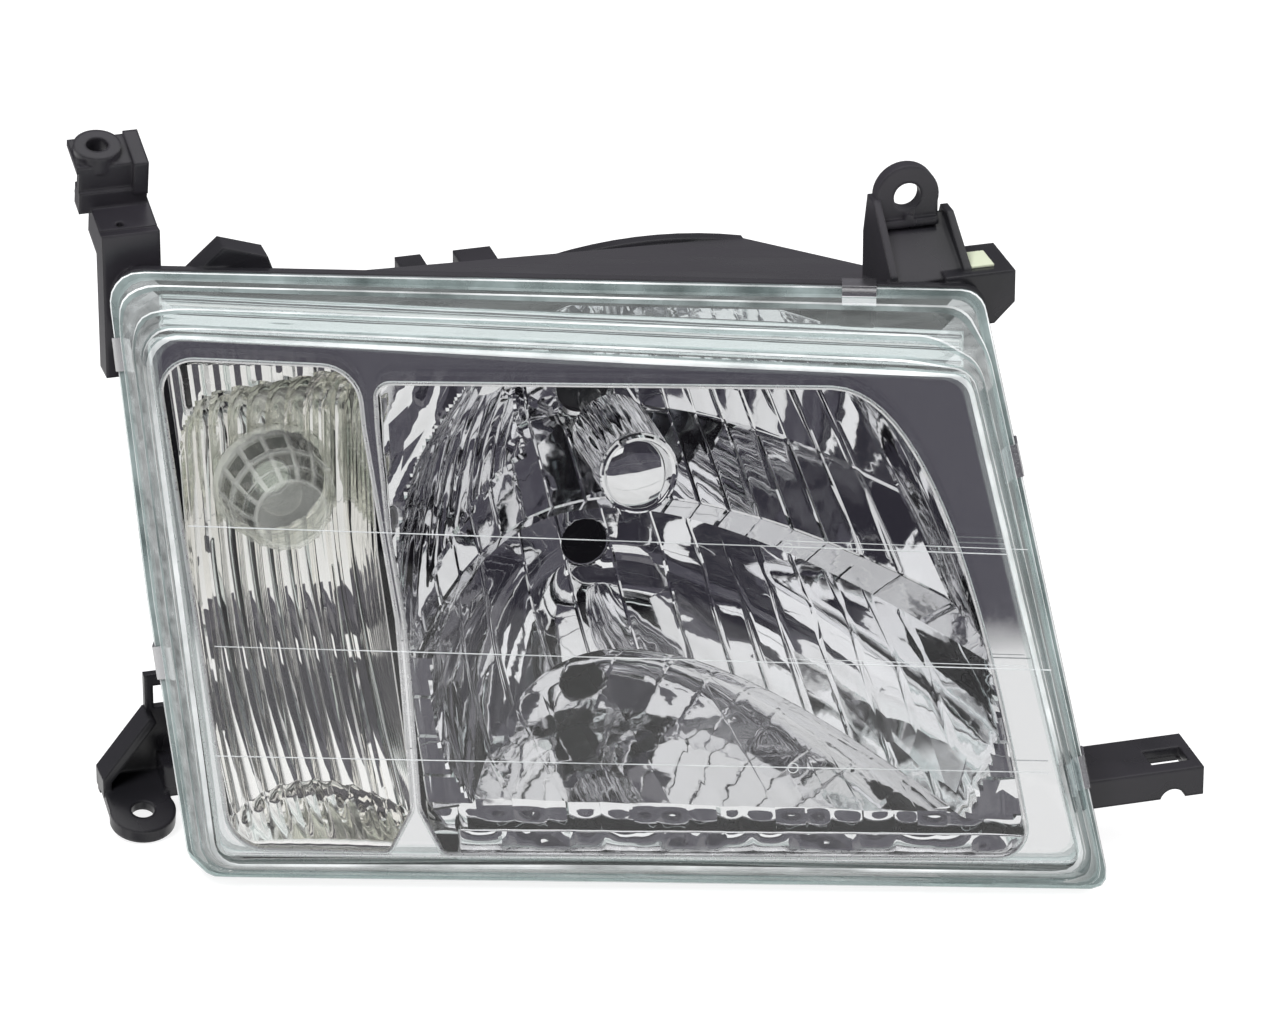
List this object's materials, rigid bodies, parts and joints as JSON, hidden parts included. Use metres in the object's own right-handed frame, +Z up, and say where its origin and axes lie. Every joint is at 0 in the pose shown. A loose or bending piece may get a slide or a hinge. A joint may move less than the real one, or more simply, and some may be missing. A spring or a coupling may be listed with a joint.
{
  "type": "car headlight assembly",
  "caption": "Right-hand car headlight with a glass lens, chrome bezel, aimable twin-bowl reflector, turn signal chamber and bolt-on housing brackets.",
  "frame": {"origin": "centre of the high-beam bulb seat, on the optical axis", "axes": "+X inboard, -Y forward out of the lens, +Z up"},
  "size_m": [0.4245, 0.3167, 0.2892],
  "materials": {
    "black_plastic": "moulded satin black polypropylene",
    "mirror_coat": "vacuum-metallised mirror under clear lacquer",
    "chrome_trim": "bright chromed trim",
    "glass": "clear pressed glass with a faint green edge",
    "cover_plastic": "clear moulded plastic with a faint yellow tint",
    "spring_steel": "bright spring steel",
    "rubber": "matt black rubber",
    "seal_rubber": "rust-red silicone rubber",
    "nylon": "natural nylon",
    "grey_plastic": "dark grey moulded plastic",
    "tip_coat": "dark heatproof cap",
    "wire": "insulated wire",
    "pale_pad": "pale cream-green pad"
  },
  "bodies": {
    "housing": {"housing": "black_plastic", "lens": "glass", "lens_seal": "rubber", "lens_clips": "spring_steel", "bezel": "chrome_trim", "bezel_screws": "spring_steel", "turn_reflector": "mirror_coat", "turn_bulb_cover": "cover_plastic", "pivot_ball_stud": "spring_steel", "breather_elbow": "rubber", "harness_grommet": "rubber", "inner_harness": "wire", "corner_pad": "pale_pad"},
    "pivot": {"pivot_socket": "nylon"},
    "reflector": {"main_reflector": "mirror_coat", "bulb_shield": "chrome_trim", "bulb_shield_screws": "spring_steel", "vertical_ball_socket": "nylon", "horizontal_ball_socket": "nylon"},
    "low_bulb": {"low_bulb_base": "grey_plastic", "low_bulb_seal": "seal_rubber", "low_bulb_glass": "glass", "low_bulb_filament": "tip_coat", "low_bulb_plug": "grey_plastic"},
    "turn_lamp": {"turn_socket": "grey_plastic", "turn_socket_seal": "seal_rubber", "turn_socket_plug": "black_plastic", "turn_bulb_glass": "glass", "turn_bulb_cap": "spring_steel", "turn_bulb_filament": "spring_steel"},
    "vertical_nut": {"vertical_ball_nut": "nylon"},
    "vertical_adjuster": {"vertical_screw": "spring_steel", "vertical_adjuster_gear": "nylon"},
    "horizontal_nut": {"horizontal_ball_nut": "nylon"},
    "horizontal_adjuster": {"horizontal_screw": "spring_steel", "horizontal_adjuster_gear": "nylon"},
    "low_cap": {"low_rear_cap": "rubber"},
    "high_cap": {"high_rear_cap": "rubber"}
  },
  "joints": [
    {"name": "aim_horizontal", "type": "hinge", "parent": "housing", "child": "pivot", "pos_m": [-0.045, 0.015, -0.05], "axis": [0, 0, 1], "range_deg": [-1.5, 1.5]},
    {"name": "aim_vertical", "type": "hinge", "parent": "pivot", "child": "reflector", "pos_m": [-0.045, 0.015, -0.05], "axis": [1, 0, 0], "range_deg": [-2, 2]},
    {"name": "vertical_nut_slide", "type": "slide", "parent": "housing", "child": "vertical_nut", "axis": [0, 1, 0], "range_m": [-0.00492, 0.00492]},
    {"name": "vertical_screw_turn", "type": "hinge", "parent": "housing", "child": "vertical_adjuster", "pos_m": [-0.045, 0.06, 0.088], "axis": [0, 1, 0], "range_deg": [-579.1, 579.1]},
    {"name": "horizontal_nut_slide", "type": "slide", "parent": "housing", "child": "horizontal_nut", "axis": [0, 1, 0], "range_m": [-0.0029, 0.0029]},
    {"name": "horizontal_screw_turn", "type": "hinge", "parent": "housing", "child": "horizontal_adjuster", "pos_m": [0.062, 0.06, -0.05], "axis": [0, 1, 0], "range_deg": [-337.2, 337.2]},
    {"name": "low_bulb_twist", "type": "hinge", "parent": "reflector", "child": "low_bulb", "pos_m": [0.008, 0.036, 0.056], "axis": [0, 1, 0], "range_deg": [0, 45]},
    {"name": "turn_socket_twist", "type": "hinge", "parent": "housing", "child": "turn_lamp", "pos_m": [-0.145, -0.035, 0.073], "axis": [0, 1, 0], "range_deg": [0, 45]},
    {"name": "low_cap_pull", "type": "slide", "parent": "housing", "child": "low_cap", "axis": [0, 1, 0], "range_m": [0, 0.06]},
    {"name": "high_cap_pull", "type": "slide", "parent": "housing", "child": "high_cap", "axis": [0, 1, 0], "range_m": [0, 0.16]}
  ],
  "couplings": [
    {"joint": "vertical_nut_slide", "follows": "aim_vertical", "m_per_rad": -0.138},
    {"joint": "vertical_screw_turn", "follows": "aim_vertical", "ratio": 289.03},
    {"joint": "horizontal_nut_slide", "follows": "aim_horizontal", "m_per_rad": 0.107},
    {"joint": "horizontal_screw_turn", "follows": "aim_horizontal", "ratio": -224.1}
  ]
}
